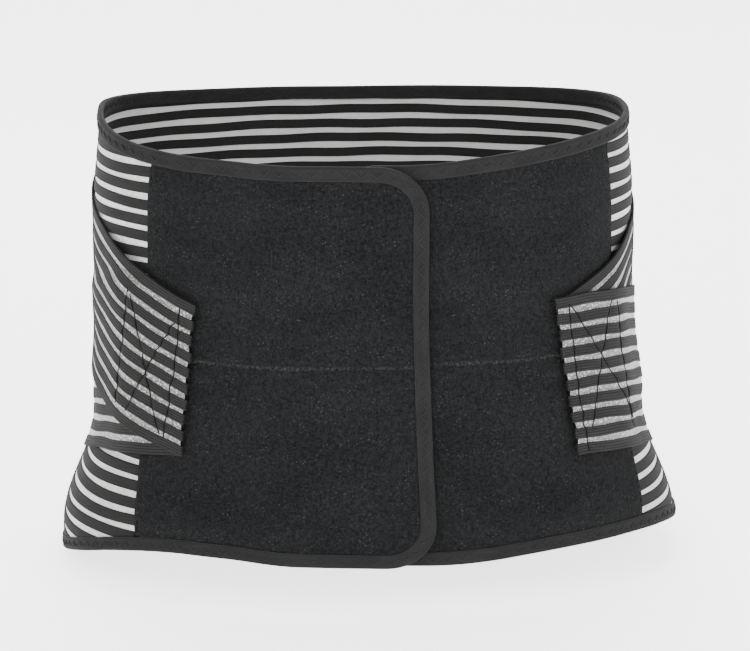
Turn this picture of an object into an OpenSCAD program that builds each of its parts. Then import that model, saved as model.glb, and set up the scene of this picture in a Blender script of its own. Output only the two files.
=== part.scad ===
// Lumbar support belt, closed round a waist. The wearer's torso axis is Z and the front faces -Y.
// Angles run clockwise seen from above: 0 is +X, 90 the front, 180 is -X and 270 the back.
// Left and right are as seen by someone who faces the belt's front, so left is -X.
// A layer's place is its distance outwards from the skin, the inner surface of the belt.

/* [Waist] */
// Half the inner width of the belt at the waist
waist_half_width = 140.5; // [133:0.5:148]
// Half the inner depth in front of the side hinge lines
front_half_depth = 100; // [94:1:106]
// Half the inner depth behind the side hinge lines
back_half_depth = 98; // [92:1:104]
// Exponent of the superellipse that the belt follows, 2 is an ellipse
squareness = 2.35; // [2.2:0.05:2.5]

/* [Hips] */
// Height at which the belt starts to flare towards the hips
flare_start = -39; // [-46:1:-32]
// Extra half width at the hips
hip_half_width = 20; // [14:1:22]
// Extra half depth at the hips
hip_half_depth = 6; // [4:1:8]
// Sideways lean of the hips towards +X
hip_lean = 3.5; // [0:0.5:5]

/* [Edges] */
// Height of the top edge at the sides
side_top = 122; // [114:1:126]
// Height of the top edge at the back
back_top = 116; // [110:1:122]
// Height of the top edge at the front
front_top = 106; // [98:1:110]
// Depth of the bottom edge below the waist at the left side
left_bottom = 122; // [114:1:126]
// Depth of the bottom edge below the waist at the right side
right_bottom = 108; // [102:1:122]
// Depth of the bottom edge below the waist at the back
back_bottom = 118; // [112:1:122]
// Depth of the bottom edge below the waist at the front
front_bottom = 97; // [92:1:102]

/* [Front panels] */
// Angle of the outer panel's leading edge
outer_lead = 76.7; // [74:0.1:82]
// Angle of the inner panel's leading edge, under the outer panel
inner_lead = 103; // [98:1:106]
// Angle of the seam between the left elastic and the outer panel
left_seam = 148.7; // [146:0.1:150]
// Angle of the seam between the right elastic and the inner panel
right_seam = 25; // [24:0.5:28]
// Radius of the panels' free corners
corner_radius = 23; // [16:1:28]
// Thickness of a panel's brushed loop face
face_thickness = 0.8; // [0.6:0.1:1]
// Thickness of a panel's foam core
core_thickness = 1.7; // [1.3:0.1:2]
// Thickness of a panel's inner lining
lining_thickness = 0.5; // [0.4:0.1:0.6]

/* [Elastic and binding] */
// Thickness of the ladder elastic round the sides and back
elastic_thickness = 1.8; // [1.4:0.1:2]
// Width of the binding tape that shows along every edge
binding_width = 7.5; // [7:0.5:10]
// Thickness of the binding tape
binding_thickness = 0.7; // [0.5:0.1:0.8]

/* [Straps] */
// Half the height of a strap where its two layers meet at the tab
strap_half_height = 42; // [37:0.5:43]
// Thickness of a strap
strap_thickness = 1.2; // [1:0.1:1.4]
// Angle from the tab's end to the seam on the back
strap_reach = 96; // [90:1:96]
// Rise of the upper strap from the tab to the back
upper_rise = 57; // [50:1:58]
// Drop of the lower strap from the tab to the back
lower_drop = 44; // [38:1:46]

/* [Stays] */
// Width of a stay
stay_width = 12; // [8:1:13]
// Thickness of a stay
stay_thickness = 0.8; // [0.6:0.1:1]
// Length of a stay
stay_length = 180; // [160:5:185]
// Angles of the four stays from the middle of the back
stay_angles = [-23, -9, 9, 23];

/* [Hidden] */

BLACK = [0.13, 0.14, 0.14];
CHARCOAL = [0.24, 0.25, 0.25];
RIB_GREY = [0.42, 0.43, 0.42];
STRAP_GREY = [0.5, 0.5, 0.49];
LINING_GREY = [0.3, 0.31, 0.31];
HOOK_GREY = [0.2, 0.2, 0.22];
STEEL = [0.62, 0.64, 0.66];
CAP_WHITE = [0.85, 0.85, 0.83];

// Largest angle between two columns of a sheet
COLUMN_STEP = 4;
// Largest angle between two columns of a panel, which is flatter
PANEL_STEP = 4.4;
// Shares of the belt's height where its sheets have a row, closer where the belt flares
ROW_SHARES = [
    0, 0.045, 0.085, 0.125, 0.165, 0.205, 0.245, 0.29, 0.345, 0.41, 0.49, 0.59, 0.71, 0.85, 1
];
// Largest distance between two rows of whatever lies on the sheets
FLARE_ROW = 8;
STRAIGHT_ROW = 18;
// Half the angle left open where a sheet is split at a hinge
HINGE_GAP = 0.1;
// Half the angle left open where two sheets meet at a seam
SEAM_SLIT = 0.05;
// Clearance between two layers that a seam holds together
SEAM_GAP = 0.18;
// Clearance between two layers whose curves follow different columns
LAYER_GAP = 0.3;
// Clearance between two layers that come apart
PEEL_GAP = 0.45;
// Width of the narrow row of a sheet under its binding
EDGE_ROW = 9;

panel_thickness = face_thickness + core_thickness + lining_thickness;
// The binding's grip on a sheet takes this much outside each face
binding_skin = SEAM_GAP + binding_thickness;
// A sheet's own edge stands this far inside the binding's fold
sheet_inset = binding_skin;
// The outer panel lies over the inner panel, both panels' bindings and a gap between them
overlap_lift = panel_thickness + 2 * binding_skin + 0.35;
// The outer panel comes down to the skin between these angles
LIFT_START = 112;
LIFT_END = 130;
// The tab's middle stands at these angles
LEFT_TAB = 138.6;
RIGHT_TAB = 41.4;
// Height of the tab's middle
LEFT_TAB_HEIGHT = -3.6;
RIGHT_TAB_HEIGHT = -6.6;
// Lean of the tab's end line, in degrees for half the strap's height
TAB_LEAN = 2.3;
// Angle that the tab's middle reaches past its own zero
TAB_OVERHANG = 1.2;
hook_thickness = 1.3;
strap_on_tab = panel_thickness + PEEL_GAP + hook_thickness + LAYER_GAP;
strap_on_elastic = elastic_thickness + 2 * LAYER_GAP;
strap_layer = strap_thickness + LAYER_GAP;
// Tape over the straps' sewn ends on the back
anchor_base = strap_on_elastic + strap_thickness + 2 * LAYER_GAP;
anchor_thickness = 0.8;
anchor_width = 26;

function clamp(x, low, high) = min(max(x, low), high);
function mix(a, b, share) = a + (b - a) * share;
// Smooth step from 0 to 1
function ease(x) = let (c = clamp(x, 0, 1)) c * c * (3 - 2 * c);
function mean(list) = list * [for (x = list) 1] / len(list);
function reverse(list) = [for (i = [len(list) - 1:-1:0]) list[i]];
function but_first(list) = [for (i = [1:len(list) - 1]) list[i]];

// How far the belt has flared at a height, 0 at the waist and 1 at the hips
function flare(z) = ease((flare_start - z) / 66);

// Half the belt's inner width at a height
function half_width(z) =
    waist_half_width - 3.6 * ease((z - 75) / 45) + 5 * ease((15 - z) / 60)
    + hip_half_width * flare(z);

// A point at an angle and a height, off millimetres outside the skin
function place(t, z, off) =
    let (
        a = half_width(z) + off,
        depth = sin(t) > 0 ? front_half_depth : back_half_depth,
        b = depth + hip_half_depth * flare(z) + off,
        n = squareness,
        r = pow(pow(abs(cos(t)) / a, n) + pow(abs(sin(t)) / b, n), -1 / n)
    )
    [r * cos(t) + hip_lean * ease((40 - z) / 120), -r * sin(t), z];

// Millimetres along the skin for one degree at an angle
function rate(t) = norm(place(t + 0.5, 0, 0) - place(t - 0.5, 0, 0));

// The belt's edges, as [angle, height] pairs that are rounded off
TOP_EDGE = [
    [-90, back_top], [-45, back_top + 1], [-12, side_top - 1], [0, side_top], [27, side_top - 5.5],
    [50, front_top + 4.5], [78, front_top - 1.3], [95, front_top], [115, front_top],
    [130, front_top + 0.8], [147, front_top + 3], [165, side_top - 7], [180, side_top],
    [192, side_top - 1], [225, back_top + 1], [270, back_top]
];
BOTTOM_EDGE = [
    [-90, -back_bottom], [-45, -back_bottom], [-12, -right_bottom - 2], [0, -right_bottom],
    [22, -front_bottom + 1.8], [38, -front_bottom + 2], [50, -front_bottom + 1],
    [68, -front_bottom - 3], [80, -front_bottom - 2.3], [100, -front_bottom - 0.8],
    [120, -front_bottom], [135, -front_bottom + 1.5], [147, -front_bottom + 1.8],
    [165, -left_bottom + 13], [180, -left_bottom], [192, -left_bottom + 1],
    [225, -back_bottom], [270, -back_bottom]
];
EDGE_BLEND = [-9, -6, -3, 0, 3, 6, 9];
function turned(t) = t > 270 ? t - 360 : (t < -90 ? t + 360 : t);
function edge_height(edge, t) = mean([for (w = EDGE_BLEND) lookup(turned(t + w), edge)]);
function top_height(t) = edge_height(TOP_EDGE, t);
function bottom_height(t) = edge_height(BOTTOM_EDGE, t);

// Even steps from a to b, no longer than step
function steps(a, b, step = COLUMN_STEP) =
    let (n = ceil(abs(b - a) / step)) [for (i = [0:n]) mix(a, b, i / n)];

// Heights from a down to b, closer together where the belt flares
function fall(a, b) =
    concat(steps(a, flare_start + 8, STRAIGHT_ROW), but_first(steps(flare_start + 8, b, FLARE_ROW)));

// The two triangles of a four-sided patch
function patch(a, b, c, d) = [[a, b, c], [a, c, d]];

// A closed sheet. grid holds columns of [angle, height], inner and outer give its two faces' distance
// from the skin at an angle and a height.
module sheet(grid, inner, outer) {
    columns = len(grid);
    rows = len(grid[0]);
    face = columns * rows;
    points = [
        for (layer = [inner, outer])
            for (line = grid)
                for (p = line) place(p[0], p[1], layer(p[0], p[1]))
    ];
    function at(i, j) = i * rows + j;
    faces = [
        for (i = [0:columns - 2])
            for (j = [0:rows - 2])
                each concat(
                    patch(at(i, j), at(i, j + 1), at(i + 1, j + 1), at(i + 1, j)),
                    patch(face + at(i, j), face + at(i + 1, j),
                          face + at(i + 1, j + 1), face + at(i, j + 1))
                ),
        for (i = [0:columns - 2])
            each concat(
                patch(at(i, 0), at(i + 1, 0), face + at(i + 1, 0), face + at(i, 0)),
                patch(at(i + 1, rows - 1), at(i, rows - 1),
                      face + at(i, rows - 1), face + at(i + 1, rows - 1))
            ),
        for (j = [0:rows - 2])
            each concat(
                patch(at(0, j + 1), at(0, j), face + at(0, j), face + at(0, j + 1)),
                patch(at(columns - 1, j), at(columns - 1, j + 1),
                      face + at(columns - 1, j + 1), face + at(columns - 1, j))
            )
    ];
    polyhedron(points, faces, convexity = 10);
}

// A closed section swept through rings of points, each clockwise as seen from the ring before it.
// caps are the section's four-sided patches.
module sweep(rings, caps) {
    n = len(rings[0]);
    last = (len(rings) - 1) * n;
    sides = [
        for (i = [0:len(rings) - 2])
            for (j = [0:n - 1])
                let (k = (j + 1) % n)
                    each patch(i * n + j, (i + 1) * n + j, (i + 1) * n + k, i * n + k)
    ];
    ends = [
        for (c = caps)
            each concat(
                patch(c[0], c[1], c[2], c[3]),
                patch(last + c[3], last + c[2], last + c[1], last + c[0])
            )
    ];
    polyhedron([for (ring = rings) each ring], concat(sides, ends), convexity = 10);
}
BAR_CAPS = [[0, 1, 2, 3]];
CHANNEL_CAPS = [[0, 1, 6, 7], [1, 2, 5, 6], [2, 3, 4, 5]];

// A column of [angle, height] points across the belt, with a narrow row under each binding.
// shift(z) leans the column, drop takes its ends further from the belt's edges.
function column(t, shift, drop = 0) =
    let (
        low = bottom_height(t + shift(bottom_height(t))) + sheet_inset + drop,
        high = top_height(t + shift(top_height(t))) - sheet_inset - drop,
        middle = [for (share = ROW_SHARES) mix(low + EDGE_ROW, high - EDGE_ROW, share)]
    )
    [for (z = concat([low], middle, [high])) [t + shift(z), z]];
upright = function(z) 0;

// How far the outer panel stands off the skin where it laps over the inner panel
function lift(t) = overlap_lift * ease((LIFT_END - t) / (LIFT_END - LIFT_START));

// Seam lines lean and bow a little, so their angle depends on the height
left_seam_at = function(z) left_seam - 0.01 * z + 2.5 * ease(-z / 40) - 3.6 * flare(z);
right_seam_at = function(z) right_seam + 0.02 * z - 2.5 * ease(-z / 40) + 5 * flare(z);

/* Ladder elastic */

module elastic(grid) {
    color(RIB_GREY) sheet(grid, function(t, z) 0, function(t, z) elastic_thickness);
}

module back_elastic() {
    elastic([for (t = steps(180 + HINGE_GAP, 360 - HINGE_GAP)) column(t, upright)]);
}

module left_side_elastic() {
    elastic([
        for (share = steps(0, 1, COLUMN_STEP / (180 - left_seam)))
            column(
                mix(left_seam + SEAM_SLIT, 180 - HINGE_GAP, share),
                function(z) (1 - share) * (left_seam_at(z) - left_seam)
            )
    ]);
}

module right_side_elastic() {
    elastic([
        for (share = steps(0, 1, COLUMN_STEP / right_seam))
            column(
                mix(HINGE_GAP, right_seam - SEAM_SLIT, share),
                function(z) share * (right_seam_at(z) - right_seam)
            )
    ]);
}

/* Front panels */

// The angle at a distance from a panel's leading edge. way is 1 for the outer and -1 for the inner panel.
function from_lead(lead, way, distance) = lead + way * distance / rate(90);

// Columns of one panel, from its leading edge to its seam. seam is the seam's angle at the waist
// and seam_at(z) its angle at a height.
function panel_grid(lead, way, seam, seam_at) =
    let (
        radius = corner_radius - sheet_inset,
        arc_end = from_lead(lead, way, corner_radius),
        seam_end = seam - way * SEAM_SLIT,
        corner = [for (a = [0:15:75])
            [from_lead(lead, way, corner_radius - radius * cos(a)), radius * (1 - sin(a))]],
        flat = [for (t = steps(arc_end, seam_end, PANEL_STEP)) [t, 0]]
    )
    [
        for (spot = concat(corner, flat))
            let (share = clamp((spot[0] - arc_end) / (seam_end - arc_end), 0, 1))
                column(spot[0], function(z) share * (seam_at(z) - seam), spot[1])
    ];

module panel_layer(grid, from, thickness, raise, shade) {
    color(shade)
        sheet(grid, function(t, z) raise(t) + from, function(t, z) raise(t) + from + thickness);
}

outer_grid = panel_grid(outer_lead, 1, left_seam, left_seam_at);
inner_grid = reverse(panel_grid(inner_lead, -1, right_seam, right_seam_at));
outer_raise = function(t) lift(t);
inner_raise = function(t) 0;
LAYER_SLIT = 0.04;

module outer_panel_lining() {
    panel_layer(outer_grid, 0, lining_thickness - LAYER_SLIT, outer_raise, LINING_GREY);
}
module outer_panel_core() {
    panel_layer(outer_grid, lining_thickness, core_thickness - LAYER_SLIT, outer_raise, CHARCOAL);
}
module outer_panel_face() {
    panel_layer(outer_grid, lining_thickness + core_thickness, face_thickness, outer_raise, BLACK);
}
module inner_panel_lining() {
    panel_layer(inner_grid, 0, lining_thickness - LAYER_SLIT, inner_raise, LINING_GREY);
}
module inner_panel_core() {
    panel_layer(inner_grid, lining_thickness, core_thickness - LAYER_SLIT, inner_raise, CHARCOAL);
}
module inner_panel_face() {
    panel_layer(inner_grid, lining_thickness + core_thickness, face_thickness, inner_raise, BLACK);
}

/* Binding */

// The eight corners of the folded tape at one place on an edge. spot(depth) gives the [angle, height]
// at a depth from the edge, low and high are the faces of the sheet that the tape grips.
function tape_ring(spot, low, high) =
    let (
        wide = binding_width,
        fold = binding_thickness,
        in_gap = low - SEAM_GAP,
        out_gap = high + SEAM_GAP,
        section = [
            [wide, in_gap - fold], [0, in_gap - fold], [0, out_gap + fold], [wide, out_gap + fold],
            [wide, out_gap], [fold, out_gap], [fold, in_gap], [wide, in_gap]
        ]
    )
    [for (s = section) let (p = spot(s[0])) place(p[0], p[1], s[1])];

module back_top_binding() {
    color(CHARCOAL) sweep([
        for (t = steps(360 - HINGE_GAP, 180 + HINGE_GAP))
            tape_ring(function(depth) [t, top_height(t) - depth], 0, elastic_thickness)
    ], CHANNEL_CAPS);
}

module back_bottom_binding() {
    color(CHARCOAL) sweep([
        for (t = steps(180 + HINGE_GAP, 360 - HINGE_GAP))
            tape_ring(function(depth) [t, bottom_height(t) + depth], 0, elastic_thickness)
    ], CHANNEL_CAPS);
}

// Binding round a front half: along the top from the hinge, round the leading edge and back below.
// thick(t) is the gripped sheet's thickness and raise(t) its inner face.
function front_tape(hinge, seam, lead, way, thick, raise) =
    let (
        arc_end = from_lead(lead, way, corner_radius),
        along = concat(steps(hinge, seam), but_first(steps(seam, arc_end, PANEL_STEP))),
        edge = fall(top_height(lead) - corner_radius, bottom_height(lead) + corner_radius),
        ring = function(t, spot) tape_ring(spot, raise(t), raise(t) + thick(t)),
        bend = function(a, depth) corner_radius - (corner_radius - depth) * cos(a),
        dip = function(a, depth) corner_radius - (corner_radius - depth) * sin(a)
    )
    concat(
        [for (t = along) ring(t, function(depth) [t, top_height(t) - depth])],
        [for (a = [75:-15:0]) ring(lead, function(depth)
            let (t = from_lead(lead, way, bend(a, depth))) [t, top_height(t) - dip(a, depth)])],
        [for (z = but_first(edge)) ring(lead, function(depth) [from_lead(lead, way, depth), z])],
        [for (a = [15:15:75]) ring(lead, function(depth)
            let (t = from_lead(lead, way, bend(a, depth))) [t, bottom_height(t) + dip(a, depth)])],
        [for (t = reverse(along)) ring(t, function(depth) [t, bottom_height(t) + depth])]
    );

// The tape's grip steps from the thin elastic to the thick panel a column before the seam
function grip(past_seam) =
    mix(elastic_thickness, panel_thickness, ease((past_seam + 2 * COLUMN_STEP) / COLUMN_STEP));
left_grip = function(t) grip(left_seam - t);
right_grip = function(t) grip(t - right_seam);

module outer_panel_binding() {
    color(CHARCOAL) sweep(
        front_tape(180 - HINGE_GAP, left_seam, outer_lead, 1, left_grip, outer_raise),
        CHANNEL_CAPS
    );
}

module inner_panel_binding() {
    color(CHARCOAL) sweep(
        reverse(front_tape(HINGE_GAP, right_seam, inner_lead, -1, right_grip, inner_raise)),
        CHANNEL_CAPS
    );
}

/* Closure */

// Hook tape sewn inside the outer panel, which grips the inner panel's loop face
module closure_hook() {
    start = from_lead(outer_lead, 1, binding_width + 1.5);
    end = from_lead(inner_lead, -1, binding_width + 2);
    color(HOOK_GREY) sheet(
        [for (t = steps(start, end)) [for (z = reverse(fall(82, -76))) [t, z]]],
        function(t, z) panel_thickness + PEEL_GAP,
        function(t, z) overlap_lift - LAYER_GAP
    );
}

/* Straps */

// The angle at s degrees past the tab, towards the back. Across a strap, v runs from -1 to 1 at its top.
function strap_angle(left, s) = left ? LEFT_TAB + s : RIGHT_TAB - s;
tab_end = function(v) -TAB_OVERHANG - TAB_LEAN * v;
// The free end of a strap peels off back to this angle past the tab
PEEL_REACH = 28;
function hinge_reach(left) = left ? 180 - LEFT_TAB : RIGHT_TAB;

function strap_height(left, upper, s, v) =
    let (
        rise = upper
            ? upper_rise * sin(90 * s / strap_reach)
            : -lower_drop / 2 * (1 - cos(180 * s / strap_reach)),
        half = strap_half_height + (upper ? 4 : 1) * ease(s / 22)
    )
    (left ? LEFT_TAB_HEIGHT : RIGHT_TAB_HEIGHT) + rise + v * half;

// Inner face of the strap that lies underneath
function under_strap(s) = mix(strap_on_tab, strap_on_elastic, ease((s - 13) / 13));

// Inner face of a strap. The upper strap is on top at the left and the lower one at the right, and
// the one on top settles onto the elastic where it has passed the other one's edge.
function strap_base(left, upper, s, z) =
    let (
        edge = strap_height(left, !upper, s, upper ? 1 : -1),
        past = upper ? z - edge : edge - z,
        raise = left == upper ? strap_layer * (1 - ease((past - 5) / 10)) : 0
    )
    under_strap(s) + raise;

// One stretch of a strap, between from(v) and to(v) degrees past its tab
module strap(left, upper, from, to) {
    rows = [for (j = [0:8]) -1 + j / 4];
    shares = steps(0, 1, COLUMN_STEP / abs(to(0) - from(0)));
    grid = [
        for (share = shares)
            [for (v = rows)
                let (s = mix(from(v), to(v), share))
                    [strap_angle(left, s), strap_height(left, upper, s, v)]]
    ];
    // Columns run clockwise, so the right side's are taken in reverse
    ordered = left ? grid : reverse(grid);
    reach = function(t) left ? t - LEFT_TAB : RIGHT_TAB - (t > 180 ? t - 360 : t);
    color(STRAP_GREY) sheet(
        ordered,
        function(t, z) strap_base(left, upper, reach(t), z),
        function(t, z) strap_base(left, upper, reach(t), z) + strap_thickness
    );
}

module strap_front(left, upper) {
    strap(left, upper, tab_end, function(v) PEEL_REACH - HINGE_GAP);
}

module strap_side(left, upper) {
    strap(left, upper, function(v) PEEL_REACH + HINGE_GAP, function(v) hinge_reach(left) - HINGE_GAP);
}

module strap_back(left, upper) {
    strap(left, upper, function(v) hinge_reach(left) + HINGE_GAP, function(v) strap_reach + 3);
}

// Hook tape under the tab, which grips the panel's loop face
module strap_hook(left) {
    low = -strap_half_height - 2;
    high = strap_half_height - 9;
    middle = (low + high) / 2;
    grid = [
        for (s = left ? [1:2:9] : [9:-2:1])
            [for (z = steps(low, high, FLARE_ROW))
                [strap_angle(left, s - TAB_LEAN * (z - middle) / strap_half_height), z]]
    ];
    color(HOOK_GREY) sheet(
        grid,
        function(t, z) panel_thickness + PEEL_GAP,
        function(t, z) panel_thickness + PEEL_GAP + hook_thickness
    );
}

module left_upper_strap_front() { strap_front(true, true); }
module left_lower_strap_front() { strap_front(true, false); }
module right_upper_strap_front() { strap_front(false, true); }
module right_lower_strap_front() { strap_front(false, false); }
module left_upper_strap_side() { strap_side(true, true); }
module left_lower_strap_side() { strap_side(true, false); }
module right_upper_strap_side() { strap_side(false, true); }
module right_lower_strap_side() { strap_side(false, false); }
module left_upper_strap_back() { strap_back(true, true); }
module left_lower_strap_back() { strap_back(true, false); }
module right_upper_strap_back() { strap_back(false, true); }
module right_lower_strap_back() { strap_back(false, false); }
module left_strap_hook() { strap_hook(true); }
module right_strap_hook() { strap_hook(false); }

// Tape that covers the straps' sewn ends on the back
module anchor_patch(t) {
    half = anchor_width / 2 / rate(t);
    color(CHARCOAL) sheet(
        [for (a = steps(t - half, t + half, 3)) [for (z = reverse(fall(102, -100))) [a, z]]],
        function(t, z) anchor_base,
        function(t, z) anchor_base + anchor_thickness
    );
}
module left_anchor_patch() { anchor_patch(LEFT_TAB + strap_reach); }
module right_anchor_patch() { anchor_patch(360 + RIGHT_TAB - strap_reach); }

/* Stays */

// A bar or channel that runs down the back at one angle. section holds [sideways, off] corners.
module stave(t, heights, section, caps) {
    sweep([
        for (z = heights)
            [for (s = section) place(t + s[0] / rate(t), z, s[1])]
    ], caps);
}

STAY_SIDE_ROOM = 1.5;
STAY_ROOM = 0.4;
CAP_LENGTH = 11;
stay_base = elastic_thickness + LAYER_GAP + STAY_ROOM;
pocket_wall = 0.7;

module stay_pocket(t) {
    inner = stay_width / 2 + STAY_SIDE_ROOM;
    outer = inner + 2.5;
    low = elastic_thickness + LAYER_GAP;
    high = stay_base + stay_thickness + STAY_ROOM;
    section = [
        [-outer, low], [-outer, high + pocket_wall], [outer, high + pocket_wall], [outer, low],
        [inner, low], [inner, high], [-inner, high], [-inner, low]
    ];
    half = stay_length / 2 + 7;
    color(BLACK) stave(t, fall(half, -half), section, CHANNEL_CAPS);
}

// A bar's four corners, with a half width and its two faces
function bar(half, low, high) = [[-half, low], [-half, high], [half, high], [half, low]];

module stay(t) {
    half = stay_length / 2;
    color(STEEL) stave(
        t, concat([half], fall(half - CAP_LENGTH, CAP_LENGTH - half), [-half]),
        bar(stay_width / 2, stay_base, stay_base + stay_thickness), BAR_CAPS
    );
}

// Plastic cap over one end of a stay. end is 1 for the top and -1 for the bottom.
module end_cap(t, end) {
    half = stay_length / 2;
    wall = 0.25;
    slack = 0.05;
    outside = downwards(end * (half - CAP_LENGTH + 1), end * (half + 1.5));
    inside = downwards(end * (half - CAP_LENGTH), end * (half + slack));
    difference() {
        stave(t, outside, bar(stay_width / 2 + slack + wall, stay_base - slack - wall,
            stay_base + stay_thickness + slack + wall), BAR_CAPS);
        stave(t, inside, bar(stay_width / 2 + slack, stay_base - slack,
            stay_base + stay_thickness + slack), BAR_CAPS);
    }
}
function downwards(a, b) = [max(a, b), min(a, b)];

function stay_at(i) = 270 + stay_angles[i - 1];
module stay_end_caps() {
    color(CAP_WHITE) for (i = [1:4]) for (end = [-1, 1]) end_cap(stay_at(i), end);
}

back_elastic();
back_top_binding();
back_bottom_binding();
stay_pocket(stay_at(1));  // stay_pocket_1
stay_pocket(stay_at(2));  // stay_pocket_2
stay_pocket(stay_at(3));  // stay_pocket_3
stay_pocket(stay_at(4));  // stay_pocket_4
stay(stay_at(1));  // stay_1
stay(stay_at(2));  // stay_2
stay(stay_at(3));  // stay_3
stay(stay_at(4));  // stay_4
stay_end_caps();
left_anchor_patch();
right_anchor_patch();
left_upper_strap_back();
left_lower_strap_back();
right_upper_strap_back();
right_lower_strap_back();
left_side_elastic();
outer_panel_face();
outer_panel_core();
outer_panel_lining();
outer_panel_binding();
closure_hook();
right_side_elastic();
inner_panel_face();
inner_panel_core();
inner_panel_lining();
inner_panel_binding();
left_upper_strap_side();
left_lower_strap_side();
right_upper_strap_side();
right_lower_strap_side();
left_upper_strap_front();
left_lower_strap_front();
left_strap_hook();
right_upper_strap_front();
right_lower_strap_front();
right_strap_hook();
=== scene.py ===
"""The looks of a lumbar support belt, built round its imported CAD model.

Lengths in this script are millimetres until place() or MM turns them into metres. Angles run clockwise
seen from above: 0 is +X, 90 the front, 180 is -X and 270 the back. "off" is the distance outwards from
the skin, the inner surface of the belt, and s counts degrees from a strap's tab towards the back.
"""

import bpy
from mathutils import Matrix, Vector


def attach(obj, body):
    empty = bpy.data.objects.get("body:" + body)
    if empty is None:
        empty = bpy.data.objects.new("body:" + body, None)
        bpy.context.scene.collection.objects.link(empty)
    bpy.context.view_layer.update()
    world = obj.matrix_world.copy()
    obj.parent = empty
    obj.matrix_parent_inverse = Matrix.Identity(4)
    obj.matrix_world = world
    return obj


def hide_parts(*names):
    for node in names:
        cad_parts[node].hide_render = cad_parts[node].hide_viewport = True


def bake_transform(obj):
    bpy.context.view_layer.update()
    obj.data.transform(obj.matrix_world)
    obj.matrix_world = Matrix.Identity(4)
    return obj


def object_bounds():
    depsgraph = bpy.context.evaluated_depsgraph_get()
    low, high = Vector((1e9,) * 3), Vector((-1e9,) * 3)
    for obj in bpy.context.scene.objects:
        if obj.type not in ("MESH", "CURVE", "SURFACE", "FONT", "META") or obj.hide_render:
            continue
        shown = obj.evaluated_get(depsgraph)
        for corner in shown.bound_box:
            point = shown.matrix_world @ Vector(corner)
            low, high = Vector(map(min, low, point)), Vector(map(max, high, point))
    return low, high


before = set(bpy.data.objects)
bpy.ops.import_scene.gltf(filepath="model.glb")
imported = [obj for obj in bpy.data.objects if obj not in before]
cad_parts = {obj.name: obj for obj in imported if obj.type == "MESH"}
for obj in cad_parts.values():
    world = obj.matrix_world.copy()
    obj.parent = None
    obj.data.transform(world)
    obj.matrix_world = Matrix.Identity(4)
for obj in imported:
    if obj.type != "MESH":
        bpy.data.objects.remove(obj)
CAD_BOX = [list(corner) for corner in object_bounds()]

import math

import bmesh
import bpy
import numpy as np
from mathutils import Vector

MM = 0.001

# ---- shape of the belt

# The superellipse that the belt follows, and its flare at the hips
WAIST_HALF_WIDTH = 140.5
TOP_NARROWING = 3.6
LOW_WIDENING = 5.0
FRONT_HALF_DEPTH = 100.0
BACK_HALF_DEPTH = 98.0
SQUARENESS = 2.35
FLARE_START = -39.0
FLARE_LENGTH = 66.0
HIP_HALF_WIDTH = 20.0
HIP_HALF_DEPTH = 6.0
HIP_LEAN = 3.5

# Angles of the panels' leading edges and seams, and where the outer panel climbs over the inner one
OUTER_LEAD = 76.7
INNER_LEAD = 103.0
LEFT_SEAM = 148.7
RIGHT_SEAM = 25.0
BACK_MIDDLE = 270.0
CORNER_RADIUS = 23.0
LIFT_START = 112.0
LIFT_END = 130.0
OVERLAP_LIFT = 5.11

# Layers. BOUND_THICKNESS is that of a panel's pressed edge inside its tape
ELASTIC_THICKNESS = 1.8
PANEL_THICKNESS = 3.0
LINING_THICKNESS = 0.5
TAPE_WIDTH = 7.3
TAPE_THICKNESS = 0.7
BOUND_THICKNESS = 2.2

# Straps: tab angles and heights, the path to the back, and how far the layers lie off the skin
LEFT_TAB = 138.6
RIGHT_TAB = 41.4
LEFT_TAB_HEIGHT = -3.6
RIGHT_TAB_HEIGHT = -6.6
STRAP_REACH = 96.0
STRAP_THICKNESS = 1.25
STRAP_HALF_HEIGHT = 42.0
UPPER_RISE = 57.0
LOWER_DROP = 44.0
TAB_LEAN = 2.3
TAB_OVERHANG = 1.2
STRAP_ON_TAB = 5.05
STRAP_ON_ELASTIC = 1.9
STRAP_LAYER = 1.35
PEEL_REACH = 28.0
PEEL_MARGIN = 3.5
PEEL_BAND = (0.5, 8.5)
STRAP_TUCK = 2.5

# The crease across both panels
CREASE_HEIGHT = 4.5
CREASE_SWAY = 0.5
CREASE_WAVE = 21.0

# Ladder elastic: ribs, and the share of a pitch that each takes up
RIB_PITCH = 8.2
RIB_SHARE = 0.67

# Angle and height of key points along each edge, rounded off over some degrees on either side
TOP_EDGE = np.array([
    (-90, 116), (-45, 117), (-12, 121), (0, 122), (27, 116.5), (50, 110.5), (78, 104.7), (95, 106),
    (115, 106), (130, 106.8), (147, 109), (165, 115), (180, 122), (192, 121), (225, 117), (270, 116),
], float)
BOTTOM_EDGE = np.array([
    (-90, -118), (-45, -118), (-12, -110), (0, -108), (22, -95.2), (38, -95), (50, -96), (68, -100),
    (80, -99.3), (100, -97.8), (120, -97), (135, -95.5), (147, -95.2), (165, -109), (180, -122),
    (192, -121), (225, -118), (270, -118),
], float)

EDGE_ROUNDING = 9


def ease(x):
    """A smooth step from 0 to 1."""
    c = np.clip(x, 0, 1)
    return c * c * (3 - 2 * c)


def mix(a, b, share):
    """The value a share of the way from a to b."""
    return a + (b - a) * share


def flare(z):
    """How far the belt has flared at a height, 0 at the waist and 1 at the hips."""
    return ease((FLARE_START - z) / FLARE_LENGTH)


def half_width(z):
    """Half the belt's inner width at a height."""
    return (WAIST_HALF_WIDTH - TOP_NARROWING * ease((z - 75) / 45) + LOW_WIDENING * ease((15 - z) / 60)
            + HIP_HALF_WIDTH * flare(z))


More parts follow.
